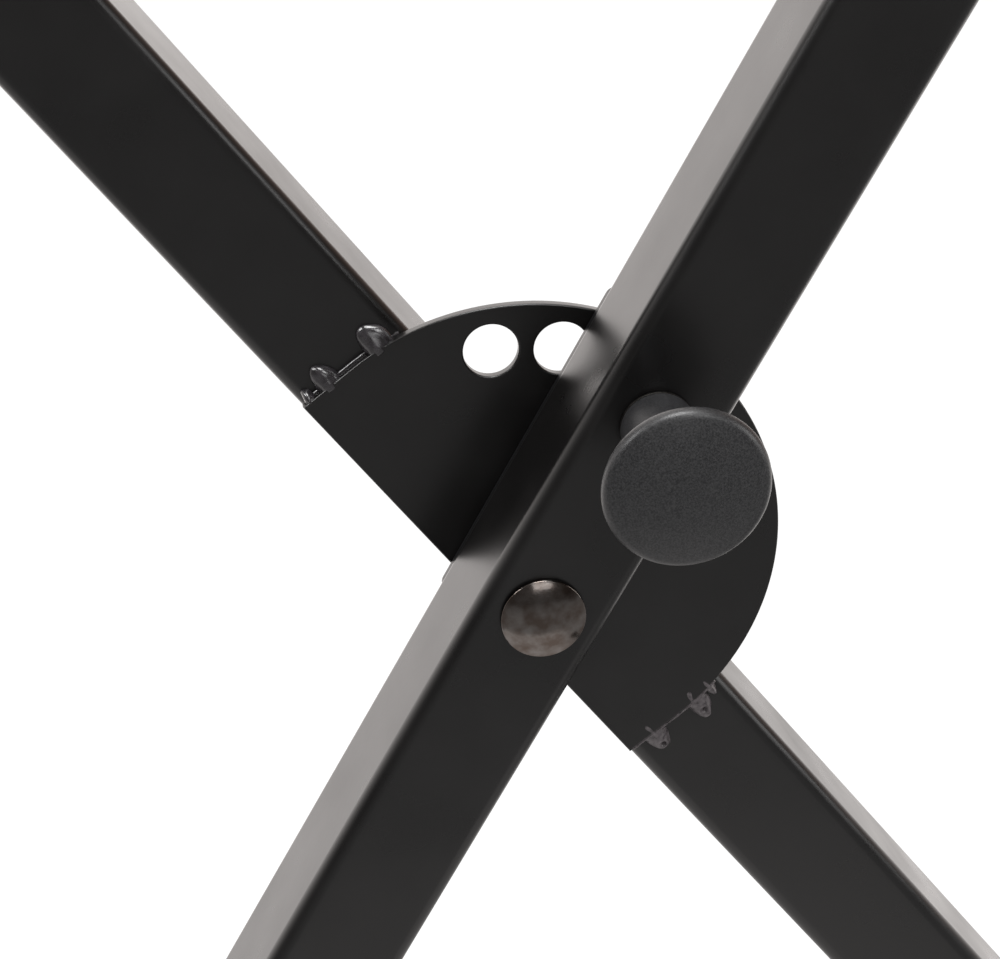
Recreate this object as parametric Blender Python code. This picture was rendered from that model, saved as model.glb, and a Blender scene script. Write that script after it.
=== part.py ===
"""X-style keyboard stand: two crossed square steel arms on one pivot rivet, set by a spring-loaded pull knob.

Metres, +Z up. The origin is on the floor under the pivot. -Y is the front, where the knob is, and the bars run
along Y. The knob's arm is the front arm: it leans to the right, from its foot bar at -X to its rest bar at +X.
The back arm leans the other way and carries the half-round index plate that the lock pin enters.
"""

import math

import bmesh
import bpy
from mathutils import Matrix

# Air that neighbouring pieces keep to each other.
GAP = 0.0003
# How far a cutter runs past the piece that it cuts.
CUT_PAST = 0.002

# Arms: square steel tube, crossing at the pivot.
ARM_OPENING = math.radians(66.8)
UPPER_ARM = 0.420
LOWER_ARM = 0.430
TUBE_SIDE = 0.030
TUBE_WALL = 0.0015
TUBE_CORNER = 0.0035

# Plates between the arms.
INDEX_PLATE_THICKNESS = 0.0025
INDEX_PLATE_RADIUS = 0.0625
WEAR_PLATE_THICKNESS = 0.002
WEAR_PLATE_WIDTH = 0.0275
WEAR_PLATE_CORNER = 0.0025
WEAR_PLATE_BELOW_PIVOT = 0.0158
WEAR_PLATE_ABOVE_PIVOT = 0.0684
PLATE_EDGE_BREAK = 0.0003

# Locking holes, counted from the flattest setting of the stand to the tallest.
INDEX_HOLES = 5
INDEX_HOLE_IN_USE = 2
INDEX_STEP = math.radians(18)
INDEX_RADIUS = 0.052
LOCK_NOSE_RADIUS = 0.006
INDEX_HOLE_PLAY = 0.0004

# Weld beads that hold the index plate to the back tube, as (across the tube, width, end of the plate). They stay
# under the plate's face, because the wear plate passes over them as the stand folds.
WELD_BEADS = ((-0.0072, 0.0062, -1), (0.0084, 0.0066, -1), (-0.0068, 0.0056, 1), (0.0078, 0.0060, 1))
WELD_ROOT = 0.0002
WELD_BELOW_FACE = 0.0002

# Pivot.
RIVET_RADIUS = 0.005
RIVET_HEAD_RADIUS = 0.0097
RIVET_HEAD_RIM = 0.0008
RIVET_HEAD_HEIGHT = 0.0031
PIVOT_BUSH_WALL = 0.002
PIVOT_WASHER_RADIUS = 0.0125
PIVOT_WASHER_THICKNESS = 0.0016

# Lock: knob, pin, spring and bush on one axis through the front arm.
KNOB_RADIUS = 0.0182
KNOB_RIM_HEIGHT = 0.0330
KNOB_CROWN = 0.0026
KNOB_RIM_ROUND = 0.0016
KNOB_NECK_RADIUS = 0.0084
KNOB_NECK_LENGTH = 0.006
KNOB_FOOT_CHAMFER = 0.0004
KNOB_BORE_DEPTH = 0.018
PIN_SHANK_RADIUS = 0.004
PIN_COLLAR_RADIUS = 0.0085
PIN_COLLAR_THICKNESS = 0.002
PIN_NOSE_CHAMFER = 0.001
BUSH_FLANGE_RADIUS = 0.0083
BUSH_FLANGE_THICKNESS = 0.0009
BUSH_BODY_RADIUS = 0.0065
BUSH_DEPTH = 0.0045
SPRING_WIRE_RADIUS = 0.0006
SPRING_RADIUS = 0.0066
SPRING_TURNS = 5

# Bars: round steel tube, one across each arm end.
BAR_RADIUS = 0.0127
BAR_WALL = 0.0015
REST_BAR_LENGTH = 0.330
FOOT_BAR_LENGTH = 0.410

# Saddle plates welded to the arm ends, and the bolts through them.
SADDLE_THICKNESS = 0.003
SADDLE_HALF_ANGLE = math.radians(80)
SADDLE_HALF_LENGTH = 0.036
SADDLE_CORNER = 0.006
BOLT_SPACING = 0.052
BOLT_RADIUS = 0.004
BOLT_HEAD_RADIUS = 0.0075
BOLT_HEAD_HEIGHT = 0.0038
BOLT_TAIL = 0.0022
WASHER_RADIUS = 0.0085
WASHER_THICKNESS = 0.0016
NUT_FLATS = 0.013
NUT_HEIGHT = 0.0068
NUT_CHAMFER = 0.0009

# Rubber: sleeves that the instrument lies on, plugs in the rest bars and boots on the foot bars.
SLEEVE_RADIUS = 0.0175
SLEEVE_FLAT_HEIGHT = 0.0162
SLEEVE_FROM_END = 0.012
SLEEVE_FROM_SADDLE = 0.0043
SLEEVE_CHAMFER = 0.0015
PLUG_RADIUS = 0.0146
PLUG_CAP = 0.006
PLUG_DEPTH = 0.016
PLUG_LEAD = 0.001
BOOT_RADIUS = 0.0195
BOOT_LENGTH = 0.052
BOOT_END_WALL = 0.005
BOOT_LIP = 0.0015
BOOT_GROOVE = 0.0012
BOOT_GROOVE_PITCH = 0.005
BOOT_GROOVES = 2
SOLE_DROP = 0.0168

# Facets round a full circle, by size of piece.
FINE = 32
ROUND = 20
MEDIUM = 16
SMALL = 12

ARM_ANGLE = (math.pi - ARM_OPENING) / 2
PIVOT_HEIGHT = SOLE_DROP + LOWER_ARM * math.sin(ARM_ANGLE)
SADDLE_RADIUS = BAR_RADIUS + GAP + SADDLE_THICKNESS
STACK = 2 * TUBE_SIDE + WEAR_PLATE_THICKNESS + INDEX_PLATE_THICKNESS + 3 * GAP
FRONT_FACE = -STACK / 2
WEAR_FRONT = FRONT_FACE + TUBE_SIDE + GAP
PLATE_FRONT = WEAR_FRONT + WEAR_PLATE_THICKNESS + GAP
PLATE_BACK = PLATE_FRONT + INDEX_PLATE_THICKNESS
BACK_TUBE_FRONT = PLATE_BACK + GAP
BACK_FACE = BACK_TUBE_FRONT + TUBE_SIDE
FRONT_ARM_MIDDLE = FRONT_FACE + TUBE_SIDE / 2
BACK_ARM_MIDDLE = BACK_TUBE_FRONT + TUBE_SIDE / 2
PIVOT_HOLE_RADIUS = RIVET_RADIUS + GAP
PIVOT_BUSH_RADIUS = PIVOT_HOLE_RADIUS + PIVOT_BUSH_WALL
LOCK_HOLE_RADIUS = LOCK_NOSE_RADIUS + GAP
WELD_HEIGHT = INDEX_PLATE_THICKNESS - WELD_ROOT - WELD_BELOW_FACE
SLEEVE_OUTER_END = REST_BAR_LENGTH / 2 - SLEEVE_FROM_END
SLEEVE_INNER_END = SADDLE_HALF_LENGTH + max(-FRONT_ARM_MIDDLE, BACK_ARM_MIDDLE) + SLEEVE_FROM_SADDLE
SLEEVE_LENGTH = SLEEVE_OUTER_END - SLEEVE_INNER_END


def clear_scene():
    for old in list(bpy.data.objects):
        bpy.data.objects.remove(old)


def steel_and_rubber():
    """One material for each finish on the stand."""
    finishes = {
        "black_powder_coat": ((0.022, 0.021, 0.020), 0.0, 0.34),
        "blackened_steel": ((0.060, 0.052, 0.046), 1.0, 0.30),
        "zinc_plated_steel": ((0.62, 0.62, 0.60), 1.0, 0.32),
        "black_nylon": ((0.040, 0.040, 0.041), 0.0, 0.55),
        "black_rubber": ((0.020, 0.020, 0.020), 0.0, 0.75),
    }
    made = {}
    for name, (colour, metallic, roughness) in finishes.items():
        material = bpy.data.materials.new(name)
        material.use_nodes = True
        shader = material.node_tree.nodes["Principled BSDF"]
        shader.inputs["Base Color"].default_value = (*colour, 1)
        shader.inputs["Metallic"].default_value = metallic
        shader.inputs["Roughness"].default_value = roughness
        made[name] = material
    return made


def frame_at(name, parent, location, turn=0.0):
    """An empty that carries pieces, turned about Y."""
    frame = bpy.data.objects.new(name, None)
    bpy.context.collection.objects.link(frame)
    frame.parent = parent
    frame.location = location
    frame.rotation_euler = (0, turn, 0)
    return frame


def new_object(name, bm, parent, material=None):
    """Turns a bmesh in its parent's frame into an object with outward faces and smooth round sides."""
    bmesh.ops.remove_doubles(bm, verts=bm.verts, dist=1e-7)
    bmesh.ops.recalc_face_normals(bm, faces=bm.faces)
    mesh = bpy.data.meshes.new(name)
    bm.to_mesh(mesh)
    bm.free()
    mesh.shade_smooth()
    mesh.set_sharp_from_angle(angle=math.radians(40))
    piece = bpy.data.objects.new(name, mesh)
    bpy.context.collection.objects.link(piece)
    piece.parent = parent
    if material:
        mesh.materials.append(material)
    return piece


def arc(centre, radius, start, end, steps):
    """Points on an arc in a plane, ends included."""
    angles = [start + (end - start) * i / steps for i in range(steps + 1)]
    return [(centre[0] + radius * math.cos(a), centre[1] + radius * math.sin(a)) for a in angles]


def rounded_square(side, corner, steps):
    """Outline of a square with round corners, centred on (0, 0)."""
    reach = side / 2 - corner
    outline = []
    for quarter, (x, z) in enumerate(((reach, reach), (-reach, reach), (-reach, -reach), (reach, -reach))):
        outline += arc((x, z), corner, quarter * math.pi / 2, (quarter + 1) * math.pi / 2, steps)
    return outline


def face_from(bm, points):
    return bm.faces.new([bm.verts.new(point) for point in points])


def extruded(bm, face, along):
    """Grows a face into a prism."""
    grown = bmesh.ops.extrude_face_region(bm, geom=[face])["geom"]
    bmesh.ops.translate(bm, verts=[v for v in grown if isinstance(v, bmesh.types.BMVert)], vec=along)


def turned(name, profile, parent, material=None, facets=ROUND, closed=False):
    """A solid turned about Y from (radius, y) points. A closed profile makes a ring."""
    bm = bmesh.new()
    flat_to_x = math.pi / facets
    out_x = math.cos(flat_to_x)
    out_z = math.sin(flat_to_x)
    verts = [bm.verts.new((radius * out_x, y, radius * out_z)) for radius, y in profile]
    pairs = list(zip(verts, verts[1:])) + ([(verts[-1], verts[0])] if closed else [])
    edges = [bm.edges.new(pair) for pair in pairs]
    bmesh.ops.spin(
        bm, geom=verts + edges, cent=(0, 0, 0), axis=(0, 1, 0), angle=2 * math.pi, steps=facets, use_merge=True
    )
    return new_object(name, bm, parent, material)


def ring(name, inner, outer, start, end, parent, material=None, facets=ROUND):
    """A plain ring or bush about Y."""
    profile = [(inner, start), (outer, start), (outer, end), (inner, end)]
    return turned(name, profile, parent, material, facets, closed=True)


def cut(piece, cutter):
    """Takes the cutter's shape out of the piece."""
    cutter.hide_render = True
    cutter.display_type = "WIRE"
    difference = piece.modifiers.new(cutter.name, "BOOLEAN")
    difference.operation = "DIFFERENCE"
    difference.solver = "EXACT"
    difference.object = cutter
    return piece


def join(piece, other):
    """Welds the other shape to the piece."""
    other.hide_render = True
    other.display_type = "WIRE"
    union = piece.modifiers.new(other.name, "BOOLEAN")
    union.operation = "UNION"
    union.solver = "EXACT"
    union.object = other
    return piece


def drill(piece, radius, start, end, parent, facets=ROUND, edge_break=0.0):
    """A round hole along Y, from start to end, with its rims broken at those depths."""
    first = start - CUT_PAST
    last = end + CUT_PAST
    if edge_break:
        wide = radius + edge_break + CUT_PAST
        profile = [(0, first), (wide, first), (radius, start + edge_break)]
        profile += [(radius, end - edge_break), (wide, last), (0, last)]
    else:
        profile = [(0, first), (radius, first), (radius, last), (0, last)]
    return cut(piece, turned(f"{piece.name}_drill", profile, parent, facets=facets))


def cross_drill(piece, radius, y, parent, reach):
    """A round hole along the frame's X, through the middle of a bar or a saddle."""
    drill_axis = frame_at(f"{piece.name}_drill_axis", parent, (0, y, 0))
    drill_axis.rotation_euler = (0, 0, math.pi / 2)
    profile = [(0, -reach), (radius, -reach), (radius, reach), (0, reach)]
    return cut(piece, turned(f"{piece.name}_drill", profile, drill_axis, facets=SMALL))


def arm_tube(name, parent, middle, support_side, material):
    """Square tube along X, coped at both ends to the saddles."""
    low = -(LOWER_ARM if support_side > 0 else UPPER_ARM)
    high = UPPER_ARM if support_side > 0 else LOWER_ARM
    stop_short = SADDLE_RADIUS / 2
    start = low + stop_short
    length = high - low - 2 * stop_short
    bm = bmesh.new()
    outer = rounded_square(TUBE_SIDE, TUBE_CORNER, steps=4)
    inner = rounded_square(TUBE_SIDE - 2 * TUBE_WALL, TUBE_CORNER - TUBE_WALL, steps=2)
    face_from(bm, [(start, middle + y, z) for y, z in outer])
    extruded(bm, bm.faces[:][0], (length, 0, 0))
    piece = new_object(name, bm, parent, material)
    hollow = bmesh.new()
    face_from(hollow, [(start - CUT_PAST, middle + y, z) for y, z in inner])
    extruded(hollow, hollow.faces[:][0], (length + 2 * CUT_PAST, 0, 0))
    cut(piece, new_object(f"{name}_hollow", hollow, parent))
    for x in (low, high):
        end = frame_at(f"{name}_cope_axis", parent, (x, 0, 0))
        front = middle - TUBE_SIDE
        rear = middle + TUBE_SIDE
        cope = SADDLE_RADIUS + GAP
        cut(piece, turned(f"{name}_cope", [(0, front), (cope, front), (cope, rear), (0, rear)], end))
    return piece


def index_hole_angle(hole):
    """Angle of a locking hole round the pivot, in the back arm's frame, from that arm's +X."""
    return math.pi - ARM_OPENING - (INDEX_HOLE_IN_USE - hole) * INDEX_STEP


def index_plate(back_arm, material):
    """Half-round plate across the back tube, with a locking hole for each setting and four weld beads."""
    bm = bmesh.new()
    outline = [(-INDEX_PLATE_RADIUS, -TUBE_SIDE / 2), (INDEX_PLATE_RADIUS, -TUBE_SIDE / 2)]
    outline += arc((0, 0), INDEX_PLATE_RADIUS, 0, math.pi, FINE)
    face_from(bm, [(x, PLATE_FRONT, z) for x, z in outline])
    extruded(bm, bm.faces[:][0], (0, INDEX_PLATE_THICKNESS, 0))
    rims = [e for e in bm.edges if abs(e.verts[0].co.y - e.verts[1].co.y) < GAP]
    bmesh.ops.bevel(
        bm, geom=rims, offset=PLATE_EDGE_BREAK, segments=1, profile=0.5, affect="EDGES", material=-1
    )
    plate = new_object("index_plate", bm, back_arm, material)
    drill(plate, PIVOT_HOLE_RADIUS, PLATE_FRONT, PLATE_BACK, back_arm)
    for hole in range(INDEX_HOLES):
        angle = index_hole_angle(hole)
        centre = (INDEX_RADIUS * math.cos(angle), 0, INDEX_RADIUS * math.sin(angle))
        hole_axis = frame_at(f"index_hole_{hole + 1}_axis", back_arm, centre)
        radius = LOCK_NOSE_RADIUS + INDEX_HOLE_PLAY
        drill(plate, radius, PLATE_FRONT, PLATE_BACK, hole_axis, edge_break=PLATE_EDGE_BREAK)
    for across, width, end in WELD_BEADS:
        join(plate, weld_bead(back_arm, across, width, end))
    return plate


def weld_bead(back_arm, across, width, end):
    """A tack of weld metal over the plate's end edge, flat underneath where it meets the tube."""
    bm = bmesh.new()
    bmesh.ops.create_uvsphere(bm, u_segments=10, v_segments=6, radius=width / 2)
    base = PLATE_BACK - WELD_ROOT
    bmesh.ops.scale(bm, vec=(1, 2 * WELD_HEIGHT / width, 1), verts=bm.verts)
    bmesh.ops.translate(bm, vec=(end * (INDEX_PLATE_RADIUS + width / 4), base, across), verts=bm.verts)
    halves = bm.verts[:] + bm.edges[:] + bm.faces[:]
    sliced = bmesh.ops.bisect_plane(bm, geom=halves, plane_co=(0, base, 0), plane_no=(0, 1, 0), clear_outer=True)
    bmesh.ops.contextual_create(bm, geom=[e for e in sliced["geom_cut"] if isinstance(e, bmesh.types.BMEdge)])
    return new_object("weld_bead", bm, back_arm)


def wear_plate(front_arm, material):
    """Thin plate on the front tube's rear face, between it and the index plate."""
    half = WEAR_PLATE_WIDTH / 2
    inset = WEAR_PLATE_CORNER
    low = -WEAR_PLATE_BELOW_PIVOT
    high = WEAR_PLATE_ABOVE_PIVOT
    corners = ((high - inset, half - inset), (low + inset, half - inset))
    corners += ((low + inset, -half + inset), (high - inset, -half + inset))
    outline = []
    for quarter, corner in enumerate(corners):
        outline += arc(corner, inset, quarter * math.pi / 2, (quarter + 1) * math.pi / 2, 4)
    bm = bmesh.new()
    face_from(bm, [(x, WEAR_FRONT, z) for x, z in outline])
    extruded(bm, bm.faces[:][0], (0, WEAR_PLATE_THICKNESS, 0))
    plate = new_object("wear_plate", bm, front_arm, material)
    drill(plate, PIVOT_HOLE_RADIUS, WEAR_FRONT, WEAR_FRONT + WEAR_PLATE_THICKNESS, front_arm)
    return plate


def pivot(front_arm, back_arm, finish):
    """Rivet, its rear washer and a bush in each arm. The rivet is fixed in the back arm."""
    front = FRONT_FACE - GAP
    rear = BACK_FACE + PIVOT_WASHER_THICKNESS + 2 * GAP
    rim = RIVET_HEAD_RIM
    dome_rise = RIVET_HEAD_HEIGHT - rim
    dome_radius = (RIVET_HEAD_RADIUS**2 + dome_rise**2) / (2 * dome_rise)
    spread = math.asin(RIVET_HEAD_RADIUS / dome_radius)
    dome = arc((0, dome_radius - RIVET_HEAD_HEIGHT), dome_radius, -math.pi / 2, -math.pi / 2 + spread, 4)
    head = [(abs(radius), y) for radius, y in dome]
    head[0] = (0, -RIVET_HEAD_HEIGHT)
    profile = [(radius, front + y) for radius, y in head] + [(RIVET_HEAD_RADIUS, front)]
    profile += [(RIVET_RADIUS, front), (RIVET_RADIUS, rear), (RIVET_HEAD_RADIUS, rear)]
    profile += [(radius, rear - y) for radius, y in reversed(head)]
    turned("pivot_rivet", profile, back_arm, finish["blackened_steel"], FINE)
    ring(
        "pivot_rear_washer",
        PIVOT_HOLE_RADIUS,
        PIVOT_WASHER_RADIUS,
        BACK_FACE + GAP,
        BACK_FACE + GAP + PIVOT_WASHER_THICKNESS,
        back_arm,
        finish["zinc_plated_steel"],
    )
    bush_ends = {
        "front_pivot_bush": (front_arm, FRONT_FACE, FRONT_FACE + TUBE_SIDE),
        "back_pivot_bush": (back_arm, BACK_TUBE_FRONT, BACK_FACE),
    }
    for name, (arm, start, end) in bush_ends.items():
        ring(name, PIVOT_HOLE_RADIUS, PIVOT_BUSH_RADIUS, start, end, arm, finish["zinc_plated_steel"])


def knob_profile():
    """Mushroom knob from its bore to its crown, as (radius, height in front of the tube)."""
    foot = BUSH_FLANGE_THICKNESS + 2 * GAP
    bore = PIN_SHANK_RADIUS + GAP
    neck = KNOB_NECK_RADIUS
    profile = [(0, KNOB_BORE_DEPTH + GAP), (bore, KNOB_BORE_DEPTH + GAP), (bore, foot)]
    profile += [(neck - KNOB_FOOT_CHAMFER, foot), (neck, foot + KNOB_FOOT_CHAMFER)]
    under = KNOB_RIM_HEIGHT - 2 * KNOB_RIM_ROUND
    flare = under - foot - KNOB_NECK_LENGTH
    flare_steps = 6
    spread = KNOB_RADIUS - KNOB_RIM_ROUND - neck
    for i in range(flare_steps + 1):
        turn = math.pi / 2 * i / flare_steps
        height = under - flare * (1 - math.sin(turn))
        profile.append((neck + spread * (1 - math.cos(turn)), height))
    rim_centre = (KNOB_RADIUS - KNOB_RIM_ROUND, KNOB_RIM_HEIGHT - KNOB_RIM_ROUND)
    rim_end = math.radians(72)
    profile += arc(rim_centre, KNOB_RIM_ROUND, -math.pi / 2, rim_end, steps=6)[1:]
    edge_radius, edge_height = profile[-1]
    crown_steps = 4
    for i in range(1, crown_steps + 1):
        share = 1 - i / crown_steps
        profile.append((edge_radius * share, edge_height + KNOB_CROWN * (1 - share**2)))
    return profile


def lock(front_arm, finish):
    """Pull knob and pin on one sliding axis, held in by a spring behind a bush in the front tube."""
    lock_axis = frame_at("lock_axis", front_arm, (INDEX_RADIUS, FRONT_FACE, 0))
    turned("pull_knob", [(r, -h) for r, h in knob_profile()], lock_axis, finish["black_nylon"], FINE)
    nose_end = TUBE_SIDE + GAP + WEAR_PLATE_THICKNESS
    collar_back = TUBE_SIDE - TUBE_WALL - GAP
    collar_front = collar_back - PIN_COLLAR_THICKNESS
    profile = [(0, -KNOB_BORE_DEPTH), (PIN_SHANK_RADIUS, -KNOB_BORE_DEPTH), (PIN_SHANK_RADIUS, collar_front)]
    profile += [(PIN_COLLAR_RADIUS, collar_front), (PIN_COLLAR_RADIUS, collar_back)]
    profile += [(LOCK_NOSE_RADIUS, collar_back), (LOCK_NOSE_RADIUS, nose_end - PIN_NOSE_CHAMFER)]
    profile += [(LOCK_NOSE_RADIUS - PIN_NOSE_CHAMFER, nose_end), (0, nose_end)]
    turned("lock_pin", profile, lock_axis, finish["zinc_plated_steel"])
    bore = PIN_SHANK_RADIUS + GAP
    flange_back = -GAP
    flange_front = flange_back - BUSH_FLANGE_THICKNESS
    profile = [(bore, flange_front), (BUSH_FLANGE_RADIUS, flange_front), (BUSH_FLANGE_RADIUS, flange_back)]
    profile += [(BUSH_BODY_RADIUS, flange_back), (BUSH_BODY_RADIUS, BUSH_DEPTH), (bore, BUSH_DEPTH)]
    turned("lock_bush", profile, lock_axis, finish["blackened_steel"], closed=True)
    lock_spring(lock_axis, collar_front, finish["zinc_plated_steel"])


def lock_spring(lock_axis, collar_front, material):
    """Open-coiled compression spring from the bush to the pin's collar."""
    seat = GAP + SPRING_WIRE_RADIUS
    start = BUSH_DEPTH + seat
    length = collar_front - seat - start
    points_per_turn = 9
    count = SPRING_TURNS * points_per_turn
    curve = bpy.data.curves.new("lock_spring", "CURVE")
    curve.dimensions = "3D"
    curve.bevel_depth = SPRING_WIRE_RADIUS
    curve.bevel_resolution = 1
    curve.use_fill_caps = True
    spline = curve.splines.new("POLY")
    spline.points.add(count)
    for i, point in enumerate(spline.points):
        angle = 2 * math.pi * i / points_per_turn
        x = SPRING_RADIUS * math.cos(angle)
        z = SPRING_RADIUS * math.sin(angle)
        point.co = (x, start + length * i / count, z, 1)
    spring = bpy.data.objects.new("lock_spring", curve)
    bpy.context.collection.objects.link(spring)
    spring.parent = lock_axis
    curve.materials.append(material)


def saddle(name, end, middle, material):
    """Half-shell plate on the arm's side of the bar, with two bolt holes."""
    inner = BAR_RADIUS + GAP
    start = math.pi - SADDLE_HALF_ANGLE
    stop = math.pi + SADDLE_HALF_ANGLE
    outline = arc((0, 0), SADDLE_RADIUS, start, stop, 10) + arc((0, 0), inner, stop, start, 10)
    bm = bmesh.new()
    face_from(bm, [(x, middle - SADDLE_HALF_LENGTH, z) for x, z in outline])
    extruded(bm, bm.faces[:][0], (0, 2 * SADDLE_HALF_LENGTH, 0))
    reach = [SADDLE_RADIUS * math.sin(SADDLE_HALF_ANGLE), inner * math.sin(SADDLE_HALF_ANGLE)]
    corners = [
        edge
        for edge in bm.edges
        if abs(edge.verts[0].co.y - edge.verts[1].co.y) < GAP
        and all(min(abs(abs(v.co.z) - r) for r in reach) < GAP for v in edge.verts)
        and abs(edge.calc_length() - SADDLE_THICKNESS) < GAP
    ]
    bmesh.ops.bevel(bm, geom=corners, offset=SADDLE_CORNER, segments=3, profile=0.5, affect="EDGES", material=-1)
    piece = new_object(name, bm, end, material)
    for side in (-1, 1):
        cross_drill(piece, BOLT_RADIUS + GAP, middle + side * BOLT_SPACING / 2, end, 2 * SADDLE_RADIUS)
    return piece


def bolt_set(side, end, y, place, finish):
    """Round-headed bolt through bar and saddle, with a curved washer outside and a nut on the arm's side."""
    axis = frame_at(f"{side}_bolt_{place}_axis", end, (0, y, 0))
    axis.rotation_euler = (0, 0, -math.pi / 2)
    seat = BAR_RADIUS + GAP + WASHER_THICKNESS
    head = seat + GAP
    tail = -SADDLE_RADIUS - GAP - NUT_HEIGHT - BOLT_TAIL
    dome = arc((0, 0), 1, 0, math.pi / 2, steps=3)
    profile = [(0, tail), (BOLT_RADIUS, tail), (BOLT_RADIUS, head)]
    profile += [(BOLT_HEAD_RADIUS * out, head + BOLT_HEAD_HEIGHT * up) for out, up in dome[:-1]]
    profile.append((0, head + BOLT_HEAD_HEIGHT))
    turned(f"{side}_bolt_{place}", profile, axis, finish["zinc_plated_steel"], SMALL)
    washer = ring(
        f"{side}_washer_{place}",
        BOLT_RADIUS + GAP,
        WASHER_RADIUS,
        BAR_RADIUS / 2,
        seat,
        axis,
        finish["zinc_plated_steel"],
        SMALL,
    )
    profile = [(0, y - BAR_RADIUS), (BAR_RADIUS + GAP, y - BAR_RADIUS)]
    profile += [(BAR_RADIUS + GAP, y + BAR_RADIUS), (0, y + BAR_RADIUS)]
    cut(washer, turned(f"{side}_washer_{place}_seat", profile, end, facets=ROUND))
    hexagon_nut(f"{side}_nut_{place}", axis, finish["zinc_plated_steel"])


def hexagon_nut(name, axis, material):
    """Hexagon nut whose outer corners are taken off, its bore clear of the bolt."""
    base = -SADDLE_RADIUS - GAP
    top = base - NUT_HEIGHT
    across_corners = 2 * NUT_FLATS / math.sqrt(3)
    bm = bmesh.new()
    bmesh.ops.create_circle(bm, cap_ends=True, segments=6, radius=across_corners / 2)
    bmesh.ops.rotate(bm, matrix=Matrix.Rotation(math.pi / 2, 3, "X"), verts=bm.verts)
    bmesh.ops.translate(bm, vec=(0, base, 0), verts=bm.verts)
    extruded(bm, bm.faces[:][0], (0, -NUT_HEIGHT, 0))
    crown = [e for e in bm.edges if all(abs(v.co.y - top) < GAP for v in e.verts)]
    bmesh.ops.bevel(bm, geom=crown, offset=NUT_CHAMFER, segments=1, profile=0.5, affect="EDGES", material=-1)
    nut = new_object(name, bm, axis, material)
    return drill(nut, BOLT_RADIUS + GAP, top, base, axis, facets=SMALL)


def bar(name, length, end, level, middle, material):
    """Round tube across an arm end, drilled for its two bolts."""
    piece = ring(name, BAR_RADIUS - BAR_WALL, BAR_RADIUS, -length / 2, length / 2, level, material)
    for side in (-1, 1):
        cross_drill(piece, BOLT_RADIUS + GAP, middle + side * BOLT_SPACING / 2, end, 2 * SADDLE_RADIUS)
    return piece


def rest_sleeve(name, level, centre, material):
    """Rubber sleeve on a rest bar, with a flat land on top that the instrument lies on."""
    inner = BAR_RADIUS + GAP
    half = SLEEVE_LENGTH / 2
    chamfer = SLEEVE_CHAMFER
    profile = [(inner, -half), (SLEEVE_RADIUS - chamfer, -half), (SLEEVE_RADIUS, -half + chamfer)]
    profile += [(SLEEVE_RADIUS, half - chamfer), (SLEEVE_RADIUS - chamfer, half), (inner, half)]
    profile = [(radius, centre + y) for radius, y in profile]
    piece = turned(name, profile, level, material, closed=True)
    return cut(piece, slab(f"{name}_land", level, SLEEVE_FLAT_HEIGHT, centre, SLEEVE_LENGTH))


def slab(name, level, height, centre, length):
    """A cutter whose face nearest the bar is level, at this height above it or below it."""
    bm = bmesh.new()
    bmesh.ops.create_cube(bm, size=1)
    thickness = BOOT_RADIUS
    size = (4 * BOOT_RADIUS, 2 * length, thickness)
    middle = (0, centre, height + math.copysign(thickness / 2, height))
    bmesh.ops.transform(bm, matrix=Matrix.LocRotScale(middle, None, size), verts=bm.verts)
    return new_object(name, bm, level)


def rest_plug(name, level, end_y, outward, material):
    """Rubber plug with a domed cap in the end of a rest bar."""
    stem = BAR_RADIUS - BAR_WALL - GAP
    cap_centre = (PLUG_RADIUS - PLUG_CAP / 2, PLUG_CAP / 2 + GAP)
    cap = arc(cap_centre, PLUG_CAP / 2, -math.pi / 2, math.pi / 2, steps=4)
    profile = [(0, -PLUG_DEPTH), (stem - PLUG_LEAD, -PLUG_DEPTH), (stem, -PLUG_DEPTH + 2 * PLUG_LEAD), (stem, GAP)]
    profile += cap + [(0, PLUG_CAP + 2 * GAP)]
    return turned(name, [(r, end_y + outward * t) for r, t in profile], level, material, MEDIUM)


def foot_boot(name, level, end_y, outward, material):
    """Rubber boot over the end of a foot bar, ribbed by grooves and cut flat where it stands."""
    inner = BAR_RADIUS + GAP
    mouth = -BOOT_LENGTH
    corner = BOOT_END_WALL
    lip = BOOT_LIP
    profile = [(0, GAP), (inner, GAP), (inner, mouth), (BOOT_RADIUS - lip, mouth), (BOOT_RADIUS, mouth + lip)]
    for i in range(BOOT_GROOVES):
        start = mouth + 2 * lip + BOOT_GROOVE_PITCH * (i + 1)
        profile += [(BOOT_RADIUS, start), (BOOT_RADIUS - BOOT_GROOVE, start + BOOT_GROOVE)]
        profile.append((BOOT_RADIUS, start + 2 * BOOT_GROOVE))
    profile += arc((BOOT_RADIUS - corner, 0), corner, 0, math.pi / 2, steps=3)
    profile += [(0, corner + GAP)]
    piece = turned(name, [(r, end_y + outward * t) for r, t in profile], level, material)
    return cut(piece, slab(f"{name}_sole", level, -SOLE_DROP, end_y, BOOT_LENGTH))


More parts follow.
